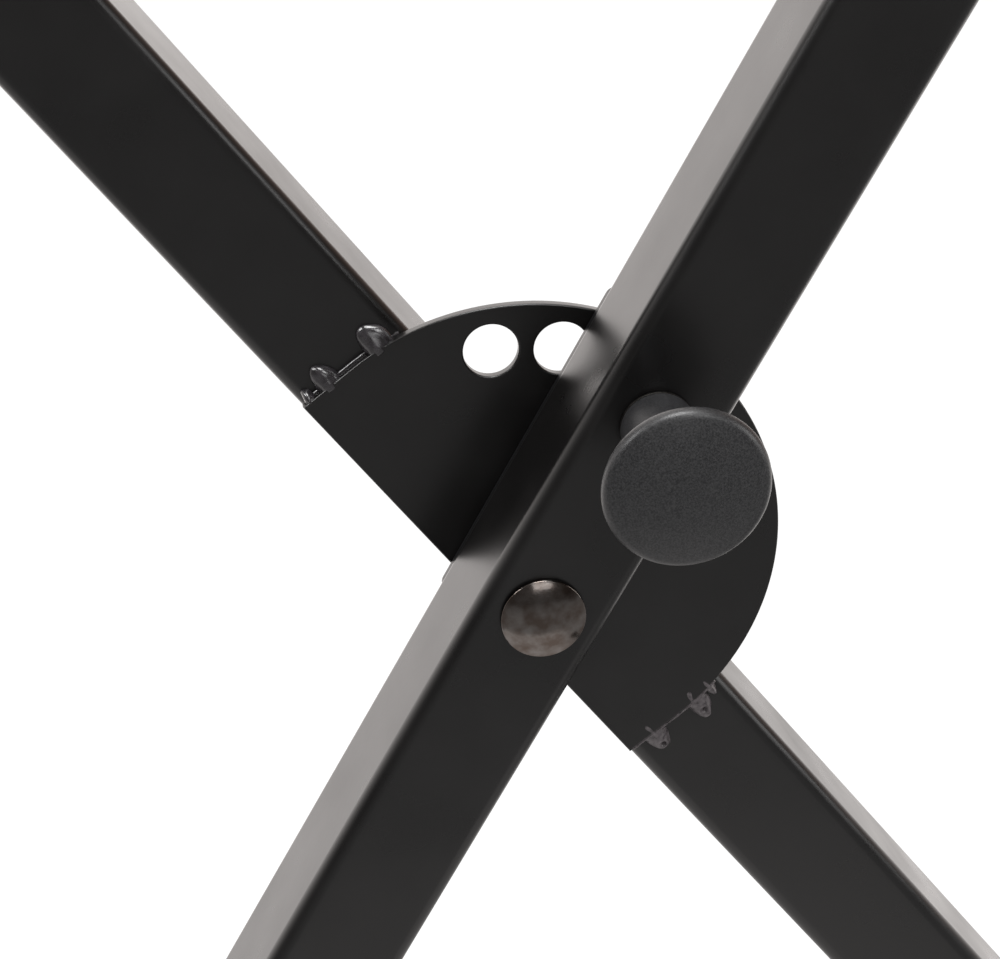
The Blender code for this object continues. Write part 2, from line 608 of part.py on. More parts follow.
def arm_end(side, arm, arm_turn, position, middle, finish):
    """Bar, saddle, bolts and rubber at one end of an arm."""
    outward = math.copysign(1, position)
    end = frame_at(f"{side}_bar_joint", arm, (position, 0, 0), 0 if outward > 0 else math.pi)
    level = frame_at(f"{side}_bar_level", arm, (position, 0, 0), -arm_turn)
    is_foot = side.endswith("foot")
    length = FOOT_BAR_LENGTH if is_foot else REST_BAR_LENGTH
    bar(f"{side}_bar", length, end, level, middle, finish["black_powder_coat"])
    saddle(f"{side}_saddle", end, middle, finish["black_powder_coat"])
    for place, direction in (("front", -1), ("rear", 1)):
        bolt_set(side, end, middle + direction * BOLT_SPACING / 2, place, finish)
        tip = direction * length / 2
        if is_foot:
            foot_boot(f"{side}_boot_{place}", level, tip, direction, finish["black_rubber"])
        else:
            centre = direction * (SLEEVE_OUTER_END + SLEEVE_INNER_END) / 2
            rest_sleeve(f"{side}_sleeve_{place}", level, centre, finish["black_rubber"])
            rest_plug(f"{side}_plug_{place}", level, tip, direction, finish["black_rubber"])


def keyboard_stand():
    clear_scene()
    finish = steel_and_rubber()
    pivot_point = (0, 0, PIVOT_HEIGHT)
    front_arm = frame_at("front_arm_pivot", None, pivot_point, -ARM_ANGLE)
    back_arm = frame_at("back_arm_pivot", None, pivot_point, ARM_ANGLE)
    coat = finish["black_powder_coat"]

    front_tube = arm_tube("front_arm_tube", front_arm, FRONT_ARM_MIDDLE, 1, coat)
    drill(front_tube, PIVOT_BUSH_RADIUS + GAP, FRONT_FACE, FRONT_FACE + TUBE_SIDE, front_arm)
    back_tube = arm_tube("back_arm_tube", back_arm, BACK_ARM_MIDDLE, -1, coat)
    drill(back_tube, PIVOT_BUSH_RADIUS + GAP, BACK_TUBE_FRONT, BACK_FACE, back_arm)

    index_plate(back_arm, coat)
    wear = wear_plate(front_arm, coat)
    pivot(front_arm, back_arm, finish)

    lock_hole = frame_at("lock_hole_axis", front_arm, (INDEX_RADIUS, FRONT_FACE, 0))
    drill(front_tube, BUSH_BODY_RADIUS + GAP, 0, TUBE_WALL, lock_hole)
    drill(front_tube, LOCK_HOLE_RADIUS, TUBE_SIDE - TUBE_WALL, TUBE_SIDE, lock_hole)
    drill(wear, LOCK_HOLE_RADIUS, TUBE_SIDE + GAP, TUBE_SIDE + GAP + WEAR_PLATE_THICKNESS, lock_hole)
    lock(front_arm, finish)

    arm_end("right_rest", front_arm, -ARM_ANGLE, UPPER_ARM, FRONT_ARM_MIDDLE, finish)
    arm_end("left_foot", front_arm, -ARM_ANGLE, -LOWER_ARM, FRONT_ARM_MIDDLE, finish)
    arm_end("left_rest", back_arm, ARM_ANGLE, -UPPER_ARM, BACK_ARM_MIDDLE, finish)
    arm_end("right_foot", back_arm, ARM_ANGLE, LOWER_ARM, BACK_ARM_MIDDLE, finish)


keyboard_stand()
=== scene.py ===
"""Looks for the X-style keyboard stand: fine pieces, finishes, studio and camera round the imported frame."""

import math

import bmesh
import bpy
from mathutils import Matrix, Vector, noise


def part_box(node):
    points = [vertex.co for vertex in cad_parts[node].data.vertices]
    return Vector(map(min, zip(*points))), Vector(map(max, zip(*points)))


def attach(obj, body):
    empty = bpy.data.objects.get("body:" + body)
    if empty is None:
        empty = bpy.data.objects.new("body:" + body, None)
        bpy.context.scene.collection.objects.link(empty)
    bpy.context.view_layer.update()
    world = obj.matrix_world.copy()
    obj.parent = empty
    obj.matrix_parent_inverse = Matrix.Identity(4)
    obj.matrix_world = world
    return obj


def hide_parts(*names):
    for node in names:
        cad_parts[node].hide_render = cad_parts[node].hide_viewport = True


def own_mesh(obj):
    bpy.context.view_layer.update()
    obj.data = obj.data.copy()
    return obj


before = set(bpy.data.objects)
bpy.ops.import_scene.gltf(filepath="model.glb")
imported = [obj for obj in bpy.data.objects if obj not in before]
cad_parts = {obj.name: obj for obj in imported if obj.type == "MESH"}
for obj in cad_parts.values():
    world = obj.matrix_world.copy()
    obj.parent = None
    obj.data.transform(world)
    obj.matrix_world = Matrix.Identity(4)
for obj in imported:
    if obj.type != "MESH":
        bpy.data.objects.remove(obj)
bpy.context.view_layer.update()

# Metres. The arms cross at the pivot, and each arm's own frame has X along the arm and Y through the stack.
GAP = 0.0003
SAME_SPOT = 1e-6
ARM_ANGLE = math.radians(56.6)
UPPER_ARM = 0.420
LOWER_ARM = 0.430
TUBE_SIDE = 0.030
TUBE_WALL = 0.0015
TUBE_CORNER = 0.0035

# The coped ends bend to the bar at cuts this far apart across the tube.
TUBE_CUT_SPACING = 0.0025
TUBE_CUTS_TO_EACH_SIDE = 4

PIVOT_HEIGHT = 0.375785

# The index plate. Its holes lie on a circle round the pivot, at angles in degrees from the back arm.
PLATE_RADIUS = 0.0625
PLATE_EDGE = 0.00045
HOLE_RADIUS = 0.0064
HOLE_CIRCLE = 0.052
HOLES = 5
FIRST_HOLE_ANGLE = 77.2
HOLE_STEP = 18

# The strip of the plate that lies across the tube, from the arm's middle line.
PLATE_STRIP = 0.0142

GUIDE_CORNER = 0.0025
GUIDE_EDGE = 0.0003
PIN_HOLE_RADIUS = 0.0063

# Weld beads at the plate's ends: place across the arm, reach past the plate, width, and how far past the
# plate a pit lies in it, or 0.
UPPER_BEADS = (
    (0.0078, 0.0060, 0.0078, 0),
    (-0.0064, 0.0054, 0.0064, 0),
    (-0.0120, 0.0026, 0.0032, 0),
)
LOWER_BEADS = (
    (0.0065, 0.0070, 0.0062, 0.0044),
    (-0.0069, 0.0070, 0.0062, 0.0050),
    (0.0112, 0.0037, 0.0030, 0),
)

# A bulge is the share by which weld metal swells and shrinks along its length.
WELD_BEAD_HEIGHT = 0.0029
WELD_OVERLAP = 0.0008
WELD_PIT = 0.0007
WELD_PIT_DEPTH = 0.7
WELD_BULGE = 0.16
WELD_BULGES = 1.2
WELD_NOISE_SHIFT = 900
WELD_LIFT = 0.00002

# The share of an upper bead's length that it keeps on the plate's side.
UPPER_WELD_FOOT = 0.2

# The run of weld along each end of the plate, from its place across the arm.
SEAM_THICKNESS = 0.0005
SEAM_START = -0.0132
SEAM_STEP = 0.0005
SEAM_POINTS = 54
SEAM_BULGE = 0.3
SEAM_BULGES_PER_METRE = 700
SEAM_LIFT = 0.0001

RIVET_RADIUS = 0.005
RIVET_HEAD_RADIUS = 0.0097
RIVET_HEAD_RIM = 0.0008
RIVET_HEAD_HEIGHT = 0.0031
RIVET_EDGE = 0.0003
PIVOT_WASHER_RADIUS = 0.0125
PIVOT_WASHER_THICKNESS = 0.0016
PIVOT_WASHER_EDGE = 0.0003

KNOB_RADIUS = 0.0182
KNOB_RIM_HEIGHT = 0.0335
KNOB_CROWN = 0.0023
KNOB_RIM_FRONT_ROUND = 0.0024
KNOB_RIM_REAR_ROUND = 0.0012
KNOB_FOOT_ROUND = 0.0004
KNOB_NECK_RADIUS = 0.0084
KNOB_NECK_LENGTH = 0.006
KNOB_BORE_DEPTH = 0.018
PIN_RADIUS = 0.004
BUSH_FLANGE_RADIUS = 0.0083
BUSH_FLANGE_THICKNESS = 0.0009
BUSH_FLANGE_EDGE = 0.0002
BUSH_BODY_RADIUS = 0.0065
BUSH_BODY_EDGE = 0.0001
BUSH_DEPTH = 0.0045
SPRING_WIRE = 0.0006
SPRING_RADIUS = 0.0066
SPRING_TURNS = 5

BAR_RADIUS = 0.0127
BAR_WALL = 0.0015
BAR_EDGE = 0.0004
REST_BAR_LENGTH = 0.330
FOOT_BAR_LENGTH = 0.410
SADDLE_THICKNESS = 0.003
SADDLE_HALF_ANGLE = math.radians(80)
SADDLE_HALF_LENGTH = 0.036
SADDLE_CORNER = 0.006
SADDLE_EDGE = 0.0005
SADDLE_SLICES = 32
SADDLE_RADIUS = BAR_RADIUS + GAP + SADDLE_THICKNESS
ARM_WELD_THICKNESS = 0.0014
ARM_WELD_LIFT = 0.0003
ARM_WELD_SPACING = 0.00045
ARM_WELD_POINTS_PER_RIPPLE = 5
ARM_WELD_RIPPLE = 0.09
ARM_WELD_BULGE = 0.12
ARM_WELD_BULGES_PER_POINT = 0.09
ARM_WELD_NOISE_SHIFT = 50
BOLT_SPACING = 0.052
BOLT_RADIUS = 0.004
BOLT_HEAD_RADIUS = 0.0075
BOLT_HEAD_HEIGHT = 0.0038
BOLT_HEAD_EDGE = 0.0003
BOLT_HEAD_CHAMFER = 0.0002
BOLT_TAIL = 0.0022
THREAD_PITCH = 0.00125
THREAD_DEPTH = 0.0006
SOCKET_FLATS = 0.005
SOCKET_MOUTH = 0.0034
SOCKET_DEPTH = 0.0022
WASHER_RADIUS = 0.0085
WASHER_THICKNESS = 0.0016
WASHER_EDGE = 0.0004
NUT_HEIGHT = 0.0068

RUBBER_ROUND = 0.0015
SLEEVE_RADIUS = 0.0175
SLEEVE_FLAT_HEIGHT = 0.0162
SLEEVE_GROOVES = (0.006, 0.009)
SLEEVE_GROOVE_HALF_WIDTH = 0.0007
SLEEVE_GROOVE_DEPTH = 0.0006
PLUG_RADIUS = 0.0146
PLUG_CAP = 0.006
PLUG_DEPTH = 0.016
PLUG_TAPER = 0.001
PLUG_TAPER_LENGTH = 0.002
BOOT_RADIUS = 0.0195
BOOT_LENGTH = 0.052
BOOT_END_WALL = 0.005
BOOT_GROOVES = (0.008, 0.013)
BOOT_GROOVE = 0.0012
TREAD_CUTS = 5
TREAD_START = 0.008
TREAD_SPACING = 0.006
TREAD_HALF_WIDTH = 0.0009
TREAD_DEPTH = 0.001
SOLE_DROP = 0.0168

front_arm = Matrix.Translation((0, 0, PIVOT_HEIGHT)) @ Matrix.Rotation(-ARM_ANGLE, 4, "Y")
back_arm = Matrix.Translation((0, 0, PIVOT_HEIGHT)) @ Matrix.Rotation(ARM_ANGLE, 4, "Y")


# Materials


def srgb(code):
    """Linear colour of an sRGB hex code."""
    parts = [int(code[i : i + 2], 16) / 255 for i in (1, 3, 5)]
    return (*[p / 12.92 if p <= 0.04045 else ((p + 0.055) / 1.055) ** 2.4 for p in parts], 1)


def per_mm(size):
    """Texture scale at which a noise cell is this many millimetres across."""
    return 1000 / size


def node(tree, kind, inputs=None, **settings):
    """Adds a shader node. An input is given a value, or the socket that feeds it."""
    made = tree.nodes.new("ShaderNode" + kind)
    for name, value in settings.items():
        setattr(made, name, value)
    for name, value in (inputs or {}).items():
        if isinstance(value, bpy.types.NodeSocket):
            tree.links.new(value, made.inputs[name])
        else:
            made.inputs[name].default_value = value
    return made


def material(name, colour, **sockets):
    """A Principled material with its plain values set on the shader's own sockets."""
    made = bpy.data.materials.new(name)
    made.use_nodes = True
    shader = made.node_tree.nodes["Principled BSDF"]
    shader.inputs["Base Color"].default_value = srgb(colour)
    for socket, value in sockets.items():
        shader.inputs[socket.replace("_", " ")].default_value = value
    made.diffuse_color = srgb(colour)
    return made


def grain(made, size, detail=2.0):
    """Noise on the piece's own place, with cells of a size in millimetres."""
    tree = made.node_tree
    place = node(tree, "TexCoord").outputs["Object"]
    return node(tree, "TexNoise", {"Vector": place, "Scale": per_mm(size), "Detail": detail})


def shades(made, field, low, high):
    """Colour that runs between two hex shades with a field."""
    blend = node(made.node_tree, "ValToRGB", {"Fac": field})
    for element, stop, colour in zip(blend.color_ramp.elements, (0.35, 0.65), (low, high)):
        element.position = stop
        element.color = srgb(colour)
    return blend.outputs["Color"]


def spread(made, field, low, high):
    """A number that runs from low to high as a field runs over its middle half."""
    inputs = {"Value": field, "From Min": 0.3, "From Max": 0.7, "To Min": low, "To Max": high}
    return node(made.node_tree, "MapRange", inputs).outputs["Result"]


def relief(made, fields):
    """Stacks bumps, each a field and its depth in millimetres, and gives the last one's normal."""
    normal = None
    for field, depth in fields:
        bump = node(made.node_tree, "Bump", {"Height": field, "Strength": 1.0, "Distance": depth / 1000})
        if normal:
            made.node_tree.links.new(normal, bump.inputs["Normal"])
        normal = bump.outputs["Normal"]
    return normal


def wire(made, **feeds):
    """Feeds the Principled shader's sockets."""
    shader = made.node_tree.nodes["Principled BSDF"]
    for socket, source in feeds.items():
        made.node_tree.links.new(source, shader.inputs[socket.replace("_", " ")])


# Satin black powder coat on the tubes, bars and plates: near black face on, with a soft sheen at a low
# angle, a faint orange peel and slightly drier patches.
coat = material("satin_black_powder_coat", "#0D0C0C", Roughness=0.3, IOR=1.55)
peel = grain(coat, 1.6)
fleck = grain(coat, 0.25, 3.0)
patch = grain(coat, 22.0, 4.0)
wire(
    coat,
    Base_Color=shades(coat, patch.outputs["Fac"], "#0B0A0A", "#100F0F"),
    Roughness=spread(coat, patch.outputs["Fac"], 0.26, 0.33),
    Normal=relief(coat, [(peel.outputs["Fac"], 0.006), (fleck.outputs["Fac"], 0.0012)]),
)

# Weld metal under the same coat: it runs thicker there, so it shines more on soft lumps.
weld_coat = material("coated_weld_bead", "#201E20", Roughness=0.25, IOR=1.8)
lump = grain(weld_coat, 1.6, 2.0)
spark = grain(weld_coat, 0.35, 2.0)
wire(
    weld_coat,
    Base_Color=shades(weld_coat, lump.outputs["Fac"], "#1A181A", "#2A272A"),
    Roughness=spread(weld_coat, lump.outputs["Fac"], 0.17, 0.28),
    Normal=relief(weld_coat, [(lump.outputs["Fac"], 0.02), (spark.outputs["Fac"], 0.012)]),
)

# Weld metal on the plate's lower end: a lighter dull grey than the coated beads above, and a little rough.
weld_metal = material("lower_end_grey_weld_metal", "#4A4547", Roughness=0.3)
scale = grain(weld_metal, 1.0, 3.0)
wire(
    weld_metal,
    Base_Color=shades(weld_metal, scale.outputs["Fac"], "#3B3638", "#5C5658"),
    Roughness=spread(weld_metal, scale.outputs["Fac"], 0.24, 0.42),
    Normal=relief(weld_metal, [(scale.outputs["Fac"], 0.03)]),
)

# Blackened and lacquered steel of the rivet: dark, with brownish patches and a hard, slightly wavy shine.
rivet_steel = material("blackened_rivet_steel", "#706A65", Metallic=1.0, Roughness=0.12)
mottle = grain(rivet_steel, 3.4, 3.0)
speck = grain(rivet_steel, 0.25, 3.0)
wire(
    rivet_steel,
    Base_Color=shades(rivet_steel, mottle.outputs["Fac"], "#5F554F", "#7D7875"),
    Roughness=spread(rivet_steel, speck.outputs["Fac"], 0.11, 0.2),
    Normal=relief(rivet_steel, [(mottle.outputs["Fac"], 0.035), (speck.outputs["Fac"], 0.001)]),
)

# Black oxide on the lock's bush: dull near-black steel with slightly rubbed patches.
oxide = material("black_oxide_bush_steel", "#2A2928", Metallic=1.0, Roughness=0.5)
rubbed = grain(oxide, 1.2, 3.0)
wire(
    oxide,
    Base_Color=shades(oxide, rubbed.outputs["Fac"], "#232221", "#373533"),
    Roughness=spread(oxide, rubbed.outputs["Fac"], 0.44, 0.58),
)

# Sandblasted black nylon of the knob: an even dull grey-black with a sandy grain. The real grain is finer
# than a pixel here, so it is drawn at 0.4 mm, where it just shows.
nylon = material("sandblasted_black_nylon", "#232324", Roughness=0.4, IOR=1.55)
sand = grain(nylon, 0.4, 2.0)
cloud = grain(nylon, 5.0, 3.0)
wire(
    nylon,
    Base_Color=shades(nylon, sand.outputs["Fac"], "#18181A", "#303031"),
    Roughness=spread(nylon, cloud.outputs["Fac"], 0.36, 0.44),
    Normal=relief(nylon, [(sand.outputs["Fac"], 0.03)]),
)

# Moulded black plastic of the guide plate: smooth, with a slight sheen on its edge.
guide_plastic = material("moulded_black_guide_plate", "#141415", Roughness=0.38)
flow = grain(guide_plastic, 3.0, 2.0)
wire(guide_plastic, Normal=relief(guide_plastic, [(flow.outputs["Fac"], 0.01)]))

# Zinc plate on bolts, nuts and washers: pale blue-grey metal with fine brushed wear.
zinc = material("zinc_plated_fastener", "#B9BCC0", Metallic=1.0, Roughness=0.34)
rub = grain(zinc, 0.6, 4.0)
film = grain(zinc, 6.0, 2.0)
wire(
    zinc,
    Base_Color=shades(zinc, film.outputs["Fac"], "#ADB0B3", "#BFC2C6"),
    Roughness=spread(zinc, rub.outputs["Fac"], 0.26, 0.44),
    Normal=relief(zinc, [(rub.outputs["Fac"], 0.004)]),
)

# Black rubber of sleeves, plugs and boots: dull, slightly dusty, with a fine moulded grain.
rubber = material("dull_black_rubber", "#1B1B1B", Roughness=0.72)
pebble = grain(rubber, 0.45, 2.0)
dust = grain(rubber, 9.0, 4.0)
wire(
    rubber,
    Base_Color=shades(rubber, dust.outputs["Fac"], "#171717", "#242322"),
    Roughness=spread(rubber, dust.outputs["Fac"], 0.64, 0.8),
    Normal=relief(rubber, [(pebble.outputs["Fac"], 0.02)]),
)


# Making pieces


def piece(name, bm, place, finish, body, *stands_for, sharp=38):
    """Turns a bmesh in its own frame into a piece that rides on a body and stands for CAD nodes."""
    bmesh.ops.remove_doubles(bm, verts=bm.verts, dist=SAME_SPOT)
    bmesh.ops.transform(bm, matrix=place, verts=bm.verts)
    bmesh.ops.recalc_face_normals(bm, faces=bm.faces)
    mesh = bpy.data.meshes.new(name)
    bm.to_mesh(mesh)
    bm.free()
    mesh.shade_smooth()
    mesh.set_sharp_from_angle(angle=math.radians(sharp))
    mesh.materials.append(finish)
    made = bpy.data.objects.new(name, mesh)
    bpy.context.scene.collection.objects.link(made)
    flats = made.modifiers.new("flat_faces_stay_flat", "WEIGHTED_NORMAL")
    flats.keep_sharp = True
    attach(made, body)
    if stands_for:
        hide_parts(*stands_for)
    return made


def new_verts(result):
    """The vertices that an operation made."""
    return [item for item in result["geom"] if isinstance(item, bmesh.types.BMVert)]


def arc(centre, radius, start, end, steps):
    """Points on an arc in a plane, ends included."""
    angles = [start + (end - start) * i / steps for i in range(steps + 1)]
    return [(centre[0] + radius * math.cos(a), centre[1] + radius * math.sin(a)) for a in angles]


def spun(profile, steps=64, closed=False):
    """A solid turned about Y from (radius, y) points."""
    bm = bmesh.new()
    verts = [bm.verts.new((radius, y, 0)) for radius, y in profile]
    pairs = list(zip(verts, verts[1:])) + ([(verts[-1], verts[0])] if closed else [])
    edges = [bm.edges.new(pair) for pair in pairs]
    turn = {"cent": (0, 0, 0), "axis": (0, 1, 0), "angle": 2 * math.pi}
    bmesh.ops.spin(bm, geom=verts + edges, **turn, steps=steps, use_merge=True)
    return bm


def ring_profile(inner, outer, start, end, edge):
    """Section of a ring whose corners are rounded, as (radius, y) points."""
    low = start + edge
    high = end - edge
    corners = ((outer - edge, low), (outer - edge, high), (inner + edge, high), (inner + edge, low))
    points = []
    for quarter, corner in enumerate(corners):
        points += arc(corner, edge, (quarter - 1) * math.pi / 2, quarter * math.pi / 2, 4)
    return points


def rounded_rectangle(length, width, corner, steps):
    """A flat face in XZ, centred, with its corners rounded."""
    bm = bmesh.new()
    bmesh.ops.create_grid(bm, x_segments=1, y_segments=1, size=0.5)
    bmesh.ops.scale(bm, vec=(length, width, 1), verts=bm.verts)
    round_over(bm, bm.verts[:], corner, steps, "VERTICES")
    bmesh.ops.rotate(bm, matrix=Matrix.Rotation(math.pi / 2, 3, "X"), verts=bm.verts)
    return bm


def round_over(bm, parts, size, steps, kind="EDGES"):
    """Rounds edges, or a flat face's corners."""
    bmesh.ops.bevel(bm, geom=parts, offset=size, segments=steps, profile=0.5, affect=kind, material=-1)


def thickened(bm, along, edge=0.0, steps=3):
    """Grows flat faces into a plate along a vector and rounds its rims."""
    grown = bmesh.ops.extrude_face_region(bm, geom=bm.faces[:])
    bmesh.ops.translate(bm, verts=new_verts(grown), vec=along)
    if edge:
        bmesh.ops.recalc_face_normals(bm, faces=bm.faces)
        flat = Vector(along).normalized()
        lies_flat = {face: abs(face.normal.dot(flat)) > 0.5 for face in bm.faces}
        rims = [e for e in bm.edges if len({lies_flat[face] for face in e.link_faces}) == 2]
        round_over(bm, rims, edge, steps)


def slice_across(bm, point, way, clear=False):
    """Cuts the mesh by a plane. With clear, its far side goes and the cut is closed."""
    whole = bm.verts[:] + bm.edges[:] + bm.faces[:]
    done = bmesh.ops.bisect_plane(bm, geom=whole, plane_co=point, plane_no=way, clear_outer=clear)
    if clear:
        cut = [item for item in done["geom_cut"] if isinstance(item, bmesh.types.BMEdge)]
        bmesh.ops.contextual_create(bm, geom=cut)


def with_holes(bm, holes):
    """Fills the outline in XZ again, with a round hole for each (x, z, radius)."""
    bmesh.ops.delete(bm, geom=bm.faces[:], context="FACES_ONLY")
    for x, z, radius in holes:
        upright = Matrix.Translation((x, 0, z)) @ Matrix.Rotation(math.pi / 2, 4, "X")
        bmesh.ops.create_circle(bm, cap_ends=False, segments=64, radius=radius, matrix=upright)
    bmesh.ops.triangle_fill(bm, use_beauty=True, use_dissolve=False, edges=bm.edges[:])


def gather(bm, other):
    """Moves another bmesh's shape into this one."""
    mesh = bpy.data.meshes.new("gathered")
    other.to_mesh(mesh)
    other.free()
    bm.from_mesh(mesh)
    bpy.data.meshes.remove(mesh)


def evenly(outline, spacing):
    """Points at an even spacing along a closed outline."""
    spots = []
    for (x0, y0), (x1, y1) in zip(outline, outline[1:] + outline[:1]):
        length = math.hypot(x1 - x0, y1 - y0)
        count = max(1, round(length / spacing))
        if length > SAME_SPOT:
            spots += [(x0 + (x1 - x0) * i / count, y0 + (y1 - y0) * i / count) for i in range(count)]
    return spots


def strand(points, thickness, swell, cyclic=False):
    """A round strand of metal along points. swell gives its share of the thickness at each."""
    curve = bpy.data.curves.new("strand", "CURVE")
    curve.dimensions = "3D"
    curve.bevel_depth = thickness
    curve.bevel_resolution = 3
    curve.use_fill_caps = not cyclic
    spline = curve.splines.new("POLY")
    spline.points.add(len(points) - 1)
    for spot, point, share in zip(spline.points, points, swell):
        spot.co = (*point, 1)
        spot.radius = share
    spline.use_cyclic_u = cyclic
    carrier = bpy.data.objects.new("strand", curve)
    mesh = bpy.data.meshes.new_from_object(carrier)
    bm = bmesh.new()
    bm.from_mesh(mesh)
    bpy.data.objects.remove(carrier)
    bpy.data.curves.remove(curve)
    bpy.data.meshes.remove(mesh)
    return bm


# The arms


def square_tube(cad_node, place, middle, low, high, body):
    """Square tube along X with round corners, its ends coped to the saddles."""
    bm = bmesh.new()
    bmesh.ops.create_grid(bm, x_segments=1, y_segments=1, size=TUBE_SIDE / 2)
    round_over(bm, bm.verts[:], TUBE_CORNER, 10, "VERTICES")
    bmesh.ops.rotate(bm, matrix=Matrix.Rotation(math.pi / 2, 3, "Y"), verts=bm.verts)
    inner = bm.faces[:]
    bmesh.ops.inset_region(bm, faces=inner, thickness=TUBE_WALL, use_boundary=True, use_even_offset=True)
    bmesh.ops.delete(bm, geom=inner, context="FACES")
    for step in range(-TUBE_CUTS_TO_EACH_SIDE, TUBE_CUTS_TO_EACH_SIDE + 1):
        slice_across(bm, (0, 0, step * TUBE_CUT_SPACING), (0, 0, 1))
    bmesh.ops.translate(bm, verts=bm.verts, vec=(low, middle, 0))
    thickened(bm, (high - low, 0, 0))
    cope = SADDLE_RADIUS + GAP
    for vert in bm.verts:
        depth = math.sqrt(cope**2 - vert.co.z**2) if abs(vert.co.z) < cope else 0
        vert.co.x += depth if vert.co.x < (low + high) / 2 else -depth
    piece(f"{cad_node}_coped", bm, place, coat, body, cad_node)


def layer(name):
    """Front and rear of a CAD node, along Y."""
    low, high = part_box(name)
    return low.y, high.y


front_face, front_tube_rear = layer("front_arm_tube")
back_tube_front, back_face = layer("back_arm_tube")
front_middle = (front_face + front_tube_rear) / 2
back_middle = (back_tube_front + back_face) / 2
square_tube("front_arm_tube", front_arm, front_middle, -LOWER_ARM, UPPER_ARM, "front_arm")
square_tube("back_arm_tube", back_arm, back_middle, -UPPER_ARM, LOWER_ARM, "back_arm")


# Index plate and guide plate

plate_front, plate_back = layer("index_plate")


def span_in_arm(name, arm):
    """Lowest and highest corners of a CAD node in an arm's own frame."""
    inverse = arm.inverted()
    spots = [inverse @ vert.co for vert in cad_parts[name].data.vertices]
    low = Vector(min(spot[i] for spot in spots) for i in range(3))
    high = Vector(max(spot[i] for spot in spots) for i in range(3))
    return low, high


def half_round_plate():
    """Half-round plate with a strip across the tube and five punched holes."""
    bm = bmesh.new()
    bmesh.ops.create_circle(bm, cap_ends=True, segments=192, radius=PLATE_RADIUS)
    bmesh.ops.rotate(bm, matrix=Matrix.Rotation(math.pi / 2, 3, "X"), verts=bm.verts)
    whole = bm.verts[:] + bm.edges[:] + bm.faces[:]
    bmesh.ops.bisect_plane(bm, geom=whole, plane_co=(0, 0, 0), plane_no=(0, 0, -1), clear_outer=True)
    across = [e for e in bm.edges if all(abs(v.co.z) < SAME_SPOT for v in e.verts)]
    strip = bmesh.ops.extrude_edge_only(bm, edges=across)
    bmesh.ops.translate(bm, verts=new_verts(strip), vec=(0, 0, -PLATE_STRIP))
    bmesh.ops.dissolve_edges(bm, edges=across, use_verts=True)
    angles = [math.radians(FIRST_HOLE_ANGLE + HOLE_STEP * step) for step in range(HOLES)]
    with_holes(bm, [(HOLE_CIRCLE * math.cos(a), HOLE_CIRCLE * math.sin(a), HOLE_RADIUS) for a in angles])
    bmesh.ops.translate(bm, verts=bm.verts, vec=(0, plate_front, 0))
    thickened(bm, (0, plate_back - plate_front, 0), PLATE_EDGE, 4)
    piece("index_plate_half_round", bm, back_arm, coat, "back_arm", "index_plate")


def guide_plate():
    """Thin plate on the front tube's rear face, with the pin's hole."""
    low, high = span_in_arm("wear_plate", front_arm)
    length = high.x - low.x
    bm = rounded_rectangle(length, high.z - low.z, GUIDE_CORNER, 8)
    bmesh.ops.translate(bm, verts=bm.verts, vec=((low.x + high.x) / 2, 0, 0))
    with_holes(bm, [(HOLE_CIRCLE, 0, PIN_HOLE_RADIUS), (0, 0, RIVET_RADIUS + GAP)])
    bmesh.ops.translate(bm, verts=bm.verts, vec=(0, low.y, 0))
    thickened(bm, (0, high.y - low.y, 0), GUIDE_EDGE, 3)
    piece("guide_plate", bm, front_arm, guide_plastic, "front_arm", "wear_plate")


def plate_end(end, across):
    """How far along the arm the plate's end lies, at a place across it."""
    return end * math.sqrt(PLATE_RADIUS**2 - max(across, 0) ** 2)


def weld_bead(bm, end, across, reach, width, pit):
    """A bead of weld metal from the plate's end down to the tube, with a pit where a bubble broke."""
    tack = bmesh.new()
    bmesh.ops.create_icosphere(tack, subdivisions=6, radius=1)
    for vert in tack.verts:
        sample = vert.co * WELD_BULGES + Vector((across * WELD_NOISE_SHIFT, end, 0))
        bulge = 1 + WELD_BULGE * noise.noise(sample)
        x = vert.co.x * (reach + WELD_OVERLAP) * bulge
        if end < 0 < x:
            x *= UPPER_WELD_FOOT
        z = vert.co.z * width / 2 * bulge
        y = vert.co.y * WELD_BEAD_HEIGHT * min(bulge, 1)
        if pit:
            off_pit = math.hypot(x * end - pit - WELD_OVERLAP, z) / WELD_PIT
            y *= 1 - WELD_PIT_DEPTH * math.exp(-(off_pit**2))
        vert.co = (x, y, z)
    slice_across(tack, (0, 0, 0), (0, 1, 0), clear=True)
    middle = plate_end(end, across) - end * WELD_OVERLAP
    place = Matrix.Translation((middle, back_tube_front - WELD_LIFT, across))
    bmesh.ops.transform(tack, matrix=place, verts=tack.verts)
    gather(bm, tack)


def plate_welds():
    """Weld beads at both ends of the plate, with a run of weld along each end."""
    upper = ("upper", -1, UPPER_BEADS, weld_coat, 0, back_tube_front - SEAM_LIFT)
    lower = ("lower", 1, LOWER_BEADS, weld_metal, SEAM_LIFT, plate_front + SEAM_THICKNESS)
    for name, end, beads, finish, past, depth in (upper, lower):
        bm = bmesh.new()
        for bead in beads:
            weld_bead(bm, end, *bead)
        piece(f"plate_{name}_weld_beads", bm, back_arm, finish, "back_arm")
        line = []
        swell = []
        for step in range(SEAM_POINTS):
            across = SEAM_START + SEAM_STEP * step
            line.append((plate_end(end, across) + end * past, depth, across))
            swell.append(1 + SEAM_BULGE * noise.noise(Vector((across * SEAM_BULGES_PER_METRE, end, 0))))
        seam = strand(line, SEAM_THICKNESS, swell)
        piece(f"plate_{name}_end_seam", seam, back_arm, finish, "back_arm")


half_round_plate()
guide_plate()
plate_welds()


# Pivot rivet and its washer


